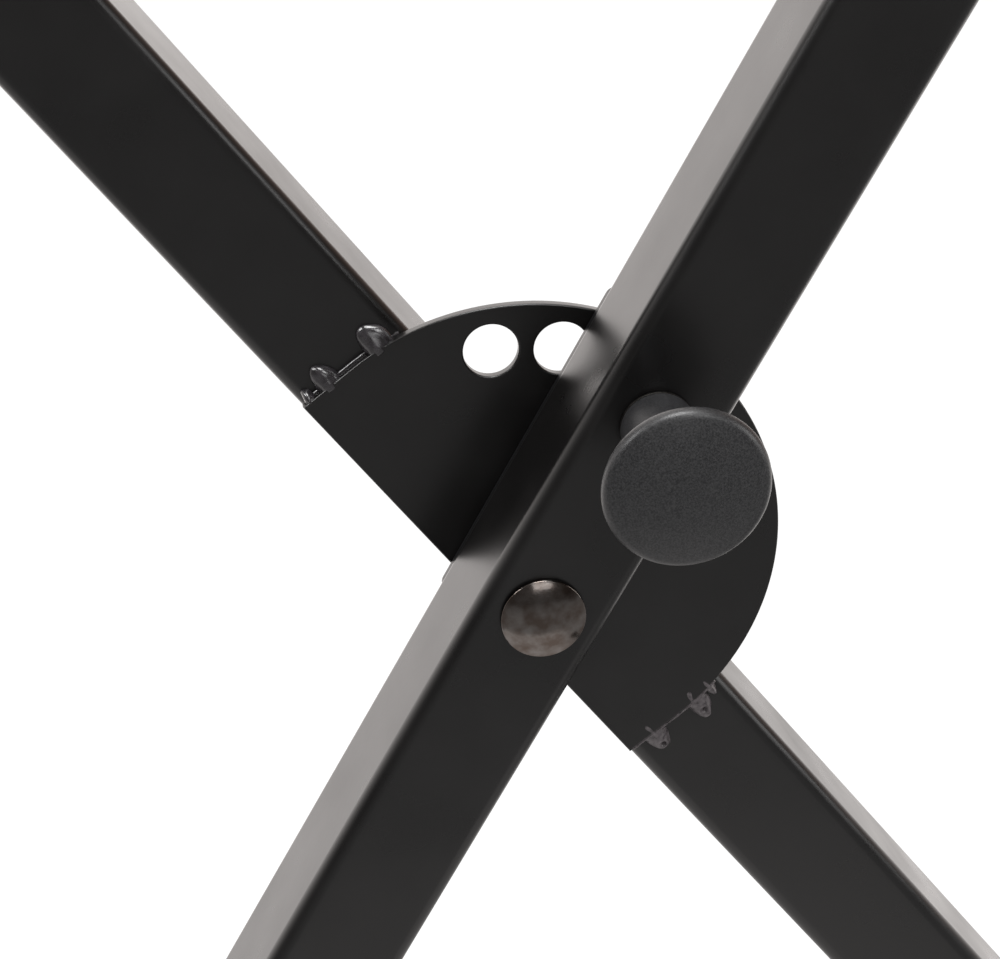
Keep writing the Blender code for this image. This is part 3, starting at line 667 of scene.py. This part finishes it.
def domed_rivet():
    """Rivet with a low dome at both ends and a small round rim."""
    front = front_face - GAP
    rear = back_face + PIVOT_WASHER_THICKNESS + 2 * GAP
    rise = RIVET_HEAD_HEIGHT - RIVET_HEAD_RIM
    radius = (RIVET_HEAD_RADIUS**2 + rise**2) / (2 * rise)
    lean = math.asin((RIVET_HEAD_RADIUS - RIVET_EDGE) / radius)
    dome = arc((0, radius - RIVET_HEAD_HEIGHT), radius, -math.pi / 2, lean - math.pi / 2, 24)
    dome[0] = (0, -RIVET_HEAD_HEIGHT)
    rim_centre = (RIVET_HEAD_RADIUS - RIVET_EDGE, dome[-1][1] + RIVET_EDGE)
    dome += arc(rim_centre, RIVET_EDGE, lean - math.pi / 2, 0, 6)[1:]
    profile = [(r, front + y) for r, y in dome] + [(RIVET_HEAD_RADIUS, front), (RIVET_RADIUS, front)]
    profile += [(RIVET_RADIUS, rear), (RIVET_HEAD_RADIUS, rear)]
    profile += [(r, rear - y) for r, y in reversed(dome)]
    piece("domed_rivet", spun(profile, 96), back_arm, rivet_steel, "back_arm", "pivot_rivet")


def pivot_washer():
    """Flat washer under the rivet's rear head."""
    front = back_face + GAP
    rear = front + PIVOT_WASHER_THICKNESS
    section = ring_profile(RIVET_RADIUS + GAP, PIVOT_WASHER_RADIUS, front, rear, PIVOT_WASHER_EDGE)
    bm = spun(section, 96, closed=True)
    piece("pivot_washer", bm, back_arm, zinc, "back_arm", "pivot_rear_washer")


domed_rivet()
pivot_washer()


# Lock: knob, bush and spring

lock_axis = front_arm @ Matrix.Translation((HOLE_CIRCLE, front_face, 0))


def mushroom_knob():
    """Mushroom knob: waisted neck, flared underside, round rim and a low crown."""
    foot = BUSH_FLANGE_THICKNESS + 2 * GAP
    bore = PIN_RADIUS + GAP
    neck = KNOB_NECK_RADIUS
    quarter = math.pi / 2
    profile = [(0, KNOB_BORE_DEPTH + GAP), (bore, KNOB_BORE_DEPTH + GAP), (bore, foot)]
    profile += arc((neck - KNOB_FOOT_ROUND, foot + KNOB_FOOT_ROUND), KNOB_FOOT_ROUND, -quarter, 0, 5)
    widest = KNOB_RIM_HEIGHT - KNOB_RIM_FRONT_ROUND
    under = widest - KNOB_RIM_REAR_ROUND
    flare = under - foot - KNOB_NECK_LENGTH
    widening = KNOB_RADIUS - KNOB_RIM_REAR_ROUND - neck
    for i in range(33):
        turn = quarter * i / 32
        profile.append((neck + widening * (1 - math.cos(turn)), under - flare * (1 - math.sin(turn))))
    profile += arc((KNOB_RADIUS - KNOB_RIM_REAR_ROUND, widest), KNOB_RIM_REAR_ROUND, -quarter, 0, 12)[1:]
    crown_lean = math.atan(2 * KNOB_CROWN / (KNOB_RADIUS - KNOB_RIM_FRONT_ROUND))
    front_centre = (KNOB_RADIUS - KNOB_RIM_FRONT_ROUND, widest)
    profile += arc(front_centre, KNOB_RIM_FRONT_ROUND, 0, quarter - crown_lean, 20)[1:]
    edge_radius, edge_height = profile[-1]
    for i in range(1, 33):
        share = 1 - i / 32
        profile.append((edge_radius * share, edge_height + KNOB_CROWN * (1 - share**2)))
    section = [(r, -height) for r, height in profile]
    piece("mushroom_knob", spun(section, 128), lock_axis, nylon, "lock", "pull_knob")


def lock_bush_ring():
    """Bush in the tube's face, whose thin flange shows round the foot of the knob."""
    bore = PIN_RADIUS + GAP
    front = -GAP - BUSH_FLANGE_THICKNESS
    flange = ring_profile(bore, BUSH_FLANGE_RADIUS, front, -GAP, BUSH_FLANGE_EDGE)
    bush_body = ring_profile(bore, BUSH_BODY_RADIUS, -GAP, BUSH_DEPTH, BUSH_BODY_EDGE)
    bm = spun(flange, 96, closed=True)
    gather(bm, spun(bush_body, 64, closed=True))
    piece("lock_bush_ring", bm, lock_axis, oxide, "front_arm", "lock_bush")


def coil_spring():
    """Compression spring inside the tube, built at one length; the real one shortens as the knob is pulled.
    """
    low, high = span_in_arm("lock_spring", front_arm)
    start = low.y - front_face + SPRING_WIRE
    end = high.y - front_face - SPRING_WIRE
    per_turn = 32
    count = SPRING_TURNS * per_turn
    points = []
    for i in range(count + 1):
        turn = 2 * math.pi * i / per_turn
        along = start + (end - start) * i / count
        points.append((SPRING_RADIUS * math.cos(turn), along, SPRING_RADIUS * math.sin(turn)))
    bm = strand(points, SPRING_WIRE, [1] * len(points))
    made = piece("coil_spring", bm, lock_axis, zinc, "front_arm", "lock_spring")
    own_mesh(made)


mushroom_knob()
lock_bush_ring()
coil_spring()


# Bars, saddles, fasteners and rubber at the four arm ends


def round_bar(side, level, length, body):
    """Round tube across an arm end."""
    section = ring_profile(BAR_RADIUS - BAR_WALL, BAR_RADIUS, -length / 2, length / 2, BAR_EDGE)
    piece(f"{side}_bar_tube", spun(section, 96, closed=True), level, coat, body, f"{side}_bar")


def bent_saddle(side, end, middle, body):
    """Plate cut with round corners, then bent round the bar."""
    bend = BAR_RADIUS + GAP + SADDLE_THICKNESS / 2
    arc_length = 2 * bend * SADDLE_HALF_ANGLE
    bm = rounded_rectangle(arc_length, 2 * SADDLE_HALF_LENGTH, SADDLE_CORNER, 8)
    for i in range(1, SADDLE_SLICES):
        slice_across(bm, (arc_length * (i / SADDLE_SLICES - 0.5), 0, 0), (1, 0, 0))
    thickened(bm, (0, SADDLE_THICKNESS, 0), SADDLE_EDGE, 3)
    for vert in bm.verts:
        turn = vert.co.x / bend
        radius = BAR_RADIUS + GAP + vert.co.y
        vert.co = (-radius * math.cos(turn), middle + vert.co.z, radius * math.sin(turn))
    piece(f"{side}_saddle_plate", bm, end, coat, body, f"{side}_saddle")


def weld_seam(side, end, middle, body):
    """Rippled weld round the tube's end, laid on the saddle."""
    reach = TUBE_SIDE / 2 - TUBE_CORNER
    corners = ((reach, reach), (-reach, reach), (-reach, -reach), (reach, -reach))
    bend = TUBE_CORNER + ARM_WELD_LIFT
    outline = []
    for quarter, corner in enumerate(corners):
        outline += arc(corner, bend, quarter * math.pi / 2, (quarter + 1) * math.pi / 2, 12)
    spots = evenly(outline, ARM_WELD_SPACING)
    radius = SADDLE_RADIUS + ARM_WELD_LIFT
    points = [(-math.sqrt(radius**2 - z**2), middle + y, z) for y, z in spots]
    ripples = round(len(points) / ARM_WELD_POINTS_PER_RIPPLE)
    swell = []
    for i in range(len(points)):
        ripple = math.sin(2 * math.pi * ripples * i / len(points))
        lumps = noise.noise(Vector((i * ARM_WELD_BULGES_PER_POINT, middle * ARM_WELD_NOISE_SHIFT, 0)))
        swell.append(1 + ARM_WELD_RIPPLE * ripple + ARM_WELD_BULGE * lumps)
    seam = strand(points, ARM_WELD_THICKNESS, swell, cyclic=True)
    piece(f"{side}_weld_seam", seam, end, weld_coat, body)


def socket_bolt(name, axis, body):
    """Button-head bolt with a hexagon socket, its thread showing past the nut."""
    head = BAR_RADIUS + WASHER_THICKNESS + 2 * GAP
    nut_end = -SADDLE_RADIUS - GAP - NUT_HEIGHT
    tail = nut_end - BOLT_TAIL
    crest = BOLT_RADIUS
    root = BOLT_RADIUS - THREAD_DEPTH
    profile = [(0, tail), (root, tail)]
    y = tail + THREAD_PITCH / 2
    while y < nut_end + THREAD_PITCH:
        profile += [(crest, y), (root, y + THREAD_PITCH / 2)]
        y += THREAD_PITCH
    top = math.acos(SOCKET_MOUTH / BOLT_HEAD_RADIUS)
    profile += [(crest, y), (crest, head), (BOLT_HEAD_RADIUS - BOLT_HEAD_CHAMFER, head)]
    shoulder = head + BOLT_HEAD_EDGE
    rise = BOLT_HEAD_HEIGHT - BOLT_HEAD_EDGE
    for i in range(17):
        turn = top * i / 16
        profile.append((BOLT_HEAD_RADIUS * math.cos(turn), shoulder + rise * math.sin(turn)))
    bm = spun(profile, 48)
    bmesh.ops.remove_doubles(bm, verts=bm.verts, dist=SAME_SPOT)
    open_rim = [e for e in bm.edges if e.is_boundary and e.verts[0].co.y > head]
    height = profile[-1][1]
    upright = Matrix.Translation((0, height, 0)) @ Matrix.Rotation(math.pi / 2, 4, "X")
    flats = SOCKET_FLATS / math.sqrt(3)
    hexagon = bmesh.ops.create_circle(bm, cap_ends=False, segments=6, radius=flats, matrix=upright)
    sides = list({e for vert in hexagon["verts"] for e in vert.link_edges})
    finer = bmesh.ops.subdivide_edges(bm, edges=sides, cuts=7)
    mouth_edges = [e for e in finer["geom"] if isinstance(e, bmesh.types.BMEdge)]
    walls = bmesh.ops.extrude_edge_only(bm, edges=mouth_edges)
    floor_edges = [item for item in walls["geom"] if isinstance(item, bmesh.types.BMEdge)]
    bmesh.ops.translate(bm, verts=new_verts(walls), vec=(0, -SOCKET_DEPTH, 0))
    bmesh.ops.contextual_create(bm, geom=[e for e in floor_edges if len(e.link_faces) < 2])
    bmesh.ops.bridge_loops(bm, edges=open_rim + mouth_edges)
    piece(name + "_socket_head", bm, axis, zinc, body, name)


def curved_washer(name, axis, body):
    """Thick washer, flat on top and hollowed below to the bar."""
    seat = BAR_RADIUS + GAP + WASHER_THICKNESS
    inner = BOLT_RADIUS + GAP
    below = [(inner + (WASHER_RADIUS - inner) * i / 8, 0) for i in range(9)]
    rim = arc((WASHER_RADIUS - WASHER_EDGE, seat - WASHER_EDGE), WASHER_EDGE, 0, math.pi / 2, 4)
    bm = spun(below + rim + [(inner, seat)], 64, closed=True)
    hollow = BAR_RADIUS + GAP
    for vert in bm.verts:
        if vert.co.y < hollow / 2:
            vert.co.y = math.sqrt(hollow**2 - vert.co.z**2)
    piece(name + "_curved", bm, axis, zinc, body, name)


def rest_sleeve(side, place, level, body):
    """Rubber sleeve with ring grooves near its ends and a flat land on top."""
    name = f"{side}_sleeve_{place}"
    low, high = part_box(name)
    start = low.y - level.translation.y
    end = high.y - level.translation.y
    inner = BAR_RADIUS + GAP
    outer = SLEEVE_RADIUS
    quarter = math.pi / 2
    profile = [(inner, start)]
    profile += arc((outer - RUBBER_ROUND, start + RUBBER_ROUND), RUBBER_ROUND, -quarter, 0, 8)
    first, second = SLEEVE_GROOVES
    for groove in (start + first, start + second, end - second, end - first):
        profile.append((outer, groove - SLEEVE_GROOVE_HALF_WIDTH))
        profile.append((outer - SLEEVE_GROOVE_DEPTH, groove))
        profile.append((outer, groove + SLEEVE_GROOVE_HALF_WIDTH))
    profile += arc((outer - RUBBER_ROUND, end - RUBBER_ROUND), RUBBER_ROUND, 0, quarter, 8)
    profile.append((inner, end))
    bm = spun(profile, 96, closed=True)
    slice_across(bm, (0, 0, SLEEVE_FLAT_HEIGHT), (0, 0, 1), clear=True)
    piece(name + "_rubber", bm, level, rubber, body, name, sharp=18)


def rest_plug(side, place, level, tip, outward, body):
    """Rubber plug with a domed cap in the end of a rest bar."""
    stem = BAR_RADIUS - BAR_WALL - GAP
    centre = (PLUG_RADIUS - PLUG_CAP / 2, PLUG_CAP / 2 + GAP)
    profile = [(0, -PLUG_DEPTH), (stem - PLUG_TAPER, -PLUG_DEPTH)]
    profile += [(stem, -PLUG_DEPTH + PLUG_TAPER_LENGTH), (stem, GAP)]
    profile += arc(centre, PLUG_CAP / 2, -math.pi / 2, math.pi / 2, 20)
    profile.append((PLUG_RADIUS / 2, PLUG_CAP + 1.6 * GAP))
    profile.append((PLUG_RADIUS / 3, PLUG_CAP + 0.8 * GAP))
    profile.append((0, PLUG_CAP + 0.5 * GAP))
    section = [(r, tip + outward * t) for r, t in profile]
    name = f"{side}_plug_{place}"
    piece(name + "_cap", spun(section, 96), level, rubber, body, name)


def foot_boot(side, place, level, tip, outward, body):
    """Rubber boot with ring grooves at its mouth and a flat sole with tread cuts."""
    inner = BAR_RADIUS + GAP
    mouth = -BOOT_LENGTH
    corner = BOOT_END_WALL
    quarter = math.pi / 2
    profile = [(0, GAP), (inner, GAP), (inner, mouth)]
    profile += arc((BOOT_RADIUS - RUBBER_ROUND, mouth + RUBBER_ROUND), RUBBER_ROUND, -quarter, 0, 6)
    for groove in BOOT_GROOVES:
        start = mouth + groove
        profile += [(BOOT_RADIUS, start), (BOOT_RADIUS - BOOT_GROOVE, start + BOOT_GROOVE)]
        profile.append((BOOT_RADIUS, start + 2 * BOOT_GROOVE))
    profile += arc((BOOT_RADIUS - corner, 0), corner, 0, quarter, 16) + [(0, corner + GAP)]
    section = [(r, tip + outward * t) for r, t in profile]
    bm = spun(section, 96)
    slice_across(bm, (0, 0, -SOLE_DROP), (0, 0, -1), clear=True)
    for cut in range(TREAD_CUTS):
        along = tip - outward * (TREAD_START + TREAD_SPACING * cut)
        for step in (-TREAD_HALF_WIDTH, 0, TREAD_HALF_WIDTH):
            slice_across(bm, (0, along + step, 0), (0, 1, 0))
        for vert in bm.verts:
            if abs(vert.co.y - along) < SAME_SPOT and vert.co.z < -SOLE_DROP + SAME_SPOT:
                vert.co.z += TREAD_DEPTH
    name = f"{side}_boot_{place}"
    piece(name + "_rubber", bm, level, rubber, body, name, sharp=18)


def arm_end(side, body, arm, position, middle):
    """Everything at one end of an arm."""
    turned = Matrix.Rotation(math.pi if position < 0 else 0, 4, "Y")
    end = arm @ Matrix.Translation((position, 0, 0)) @ turned
    level = Matrix.Translation(end.translation)
    is_foot = side.endswith("foot")
    length = FOOT_BAR_LENGTH if is_foot else REST_BAR_LENGTH
    round_bar(side, level, length, body)
    bent_saddle(side, end, middle, body)
    weld_seam(side, end, middle, body)
    for place, outward in (("front", -1), ("rear", 1)):
        hole = Matrix.Translation((0, middle + outward * BOLT_SPACING / 2, 0))
        axis = end @ hole @ Matrix.Rotation(-math.pi / 2, 4, "Z")
        socket_bolt(f"{side}_bolt_{place}", axis, body)
        curved_washer(f"{side}_washer_{place}", axis, body)
        tip = outward * length / 2
        if is_foot:
            foot_boot(side, place, level, tip, outward, body)
        else:
            rest_sleeve(side, place, level, body)
            rest_plug(side, place, level, tip, outward, body)


arm_end("right_rest", "front_arm", front_arm, UPPER_ARM, front_middle)
arm_end("left_foot", "front_arm", front_arm, -LOWER_ARM, front_middle)
arm_end("left_rest", "back_arm", back_arm, -UPPER_ARM, back_middle)
arm_end("right_foot", "back_arm", back_arm, LOWER_ARM, back_middle)

# The nuts, the pin and the pivot bushes keep their CAD shape and take the plated finish.
for name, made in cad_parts.items():
    if "_nut_" in name or name in ("lock_pin", "front_pivot_bush", "back_pivot_bush"):
        for spot in made.material_slots:
            spot.material = zinc


# Studio

# What glossy surfaces see: dim on the camera's side, bright behind the stand, a little warm.
DIM_SIDE = 0.13
DIM_FLOOR = 0.18
NEAR_FLOOR = 0.75
NEAR_FLOOR_RIGHT = 0.1
FLOOR_BEHIND_RIGHT = 1.1
BRIGHT_SIDE = 2.2
WARM_WHITE = "#FFF9F6"
BROWN_WALL = "#8C776D"

# Where those change, each a start and an end: on the floor in metres, and in the air along a direction.
FLOOR_NEAR = (-0.47, -0.37)
FLOOR_ASIDE = (0.1, 0.3)
FLOOR_FAR = (0.05, 0.9)
PATCH_ASIDE = (0.12, 0.28)
PATCH_START = (0.02, 0.1)
PATCH_END = (0.4, 0.7)
FLOOR_BROWN = (1.3, 2.4)
AIR_BEHIND = (-0.5, 1.0)
AIR_BROWN = (0.5, 0.72)

# What the eye and dull surfaces see of the floor and the air. The floor's own paint takes the shadows.
FLOOR_REACH = 6
FLOOR_PAINT = "#E6E6E6"
FLOOR_WHITE = 1.18
FLOOR_WHITE_SHARE = 0.78
PLAIN_AIR = 0.38


def lamp(name, place, aim, size, brightness):
    """A soft square lamp whose face has this brightness, where 1 is white."""
    data = bpy.data.lights.new(name, "AREA")
    data.shape = "RECTANGLE"
    data.size, data.size_y = size
    data.energy = brightness * math.pi * size[0] * size[1]
    made = bpy.data.objects.new(name, data)
    made.location = place
    made.rotation_euler = (Vector(aim) - Vector(place)).to_track_quat("-Z", "Y").to_euler()
    made.visible_camera = False
    bpy.context.scene.collection.objects.link(made)


def either(tree, first, second):
    """1 where one of two flags is set."""
    return node(tree, "Math", {0: first, 1: second}, operation="MAXIMUM").outputs[0]


def ramp(tree, field, axis, span, low, high):
    """A number that goes from low to high as a place or direction goes over a span of an axis."""
    start, end = span
    along = node(tree, "SeparateXYZ", {"Vector": field}).outputs[axis]
    inputs = {"Value": along, "From Min": start, "From Max": end, "To Min": low, "To Max": high}
    return node(tree, "MapRange", inputs, interpolation_type="SMOOTHSTEP").outputs["Result"]


def brown_to_the_right(tree, field, span):
    """The warm white of the studio, brown to the right as the X of a place or a direction goes up."""
    start, end = span
    aside = node(tree, "SeparateXYZ", {"Vector": field}).outputs["X"]
    share = node(tree, "MapRange", {"Value": aside, "From Min": start, "From Max": end})
    inputs = {0: share.outputs["Result"], 6: srgb(WARM_WHITE), 7: srgb(BROWN_WALL)}
    return node(tree, "Mix", inputs, data_type="RGBA").outputs[2]


def pale_floor():
    """White paint that takes shadows, mixed with a white glow for the eye and with a tinted one for
    reflections, whose bright and dark parts lie where the stand's faces mirror them."""
    bm = bmesh.new()
    bmesh.ops.create_grid(bm, x_segments=1, y_segments=1, size=FLOOR_REACH)
    mesh = bpy.data.meshes.new("floor")
    bm.to_mesh(mesh)
    bm.free()
    floor = bpy.data.objects.new("floor", mesh)
    bpy.context.scene.collection.objects.link(floor)
    made = bpy.data.materials.new("pale_studio_floor")
    made.use_nodes = True
    tree = made.node_tree
    tree.nodes.clear()
    path = node(tree, "LightPath")
    place = node(tree, "TexCoord").outputs["Object"]
    mirror = either(tree, path.outputs["Is Glossy Ray"], path.outputs["Is Transmission Ray"])
    seen = either(tree, path.outputs["Is Camera Ray"], mirror)
    close = ramp(tree, place, "Y", FLOOR_NEAR, 0, NEAR_FLOOR - DIM_FLOOR)
    aside = ramp(tree, place, "X", FLOOR_ASIDE, 1, NEAR_FLOOR_RIGHT)
    near = node(tree, "Math", {0: close, 1: aside, 2: DIM_FLOOR}, operation="MULTIPLY_ADD").outputs[0]
    far = ramp(tree, place, "Y", FLOOR_FAR, 0, BRIGHT_SIDE - NEAR_FLOOR)
    beside = ramp(tree, place, "X", PATCH_ASIDE, 0, 1)
    behind = ramp(tree, place, "Y", PATCH_START, 0, FLOOR_BEHIND_RIGHT)
    beyond = ramp(tree, place, "Y", PATCH_END, 0, -FLOOR_BEHIND_RIGHT)
    patch_depth = node(tree, "Math", {0: behind, 1: beyond}, operation="ADD").outputs[0]
    patched = node(tree, "Math", {0: beside, 1: patch_depth, 2: far}, operation="MULTIPLY_ADD").outputs[0]
    reflected = node(tree, "Math", {0: near, 1: patched}, operation="ADD").outputs[0]
    tint = brown_to_the_right(tree, place, FLOOR_BROWN)
    paint = node(tree, "BsdfDiffuse", {"Color": srgb(FLOOR_PAINT)})
    white = node(tree, "Emission", {"Color": srgb("#FFFFFF"), "Strength": FLOOR_WHITE})
    warm = node(tree, "Emission", {"Color": tint, "Strength": reflected})
    background = node(tree, "MixShader", {0: mirror, 1: white.outputs[0], 2: warm.outputs[0]})
    share = node(tree, "Math", {0: seen, 1: FLOOR_WHITE_SHARE}, operation="MULTIPLY")
    mix = node(tree, "MixShader", {0: share.outputs[0], 1: paint.outputs[0], 2: background.outputs[0]})
    node(tree, "OutputMaterial", {"Surface": mix.outputs[0]})
    mesh.materials.append(made)


def studio_air():
    """Plain light from all round, and for reflections brighter behind the stand than in front of it."""
    world = bpy.data.worlds.new("studio")
    bpy.context.scene.world = world
    world.use_nodes = True
    tree = world.node_tree
    tree.nodes.clear()
    path = node(tree, "LightPath")
    way = node(tree, "TexCoord").outputs["Generated"]
    mirror = either(tree, path.outputs["Is Glossy Ray"], path.outputs["Is Transmission Ray"])
    reflected = ramp(tree, way, "Y", AIR_BEHIND, DIM_SIDE, BRIGHT_SIDE)
    tint = brown_to_the_right(tree, way, AIR_BROWN)
    by_eye = {"Value": path.outputs["Is Camera Ray"], "To Min": PLAIN_AIR, "To Max": 1.0}
    plain = node(tree, "MapRange", by_eye).outputs["Result"]
    air = node(tree, "Background", {"Color": srgb("#FFFFFF"), "Strength": plain})
    warm = node(tree, "Background", {"Color": tint, "Strength": reflected})
    mix = node(tree, "MixShader", {0: mirror, 1: air.outputs[0], 2: warm.outputs[0]})
    node(tree, "OutputWorld", {"Surface": mix.outputs[0]})


pale_floor()
studio_air()
lamp("soft_lamp_right", (1.3, -0.45, 0.62), (0, 0, 0.42), (0.6, 0.7), 3.5)
lamp("soft_lamp_upper_right", (0.6, -1.0, 1.45), (0, 0, 0.42), (0.5, 0.4), 6.0)
lamp("soft_lamp_upper_left", (-1.1, -0.4, 1.55), (0, 0, 0.45), (0.5, 0.5), 12.0)
lamp("soft_lamp_overhead", (0.15, -0.36, 1.97), (0, 0, 0.4), (0.7, 0.7), 14.0)
lamp("soft_lamp_front", (0.25, -1.6, 0.95), (0, 0, 0.4), (0.7, 0.3), 2.5)

scene = bpy.context.scene
scene.view_settings.view_transform = "Standard"

camera_data = bpy.data.cameras.new("camera")
camera_data.sensor_fit = "HORIZONTAL"
camera_data.sensor_width = 36
camera_data.lens = 97.111
camera_data.clip_start = 0.02
camera = bpy.data.objects.new("camera", camera_data)
camera.location = (-0.065036, -0.557068, 0.675208)
camera.rotation_euler = [math.radians(turn) for turn in (63.3410, 4.8294, -8.7636)]
scene.collection.objects.link(camera)
scene.camera = camera
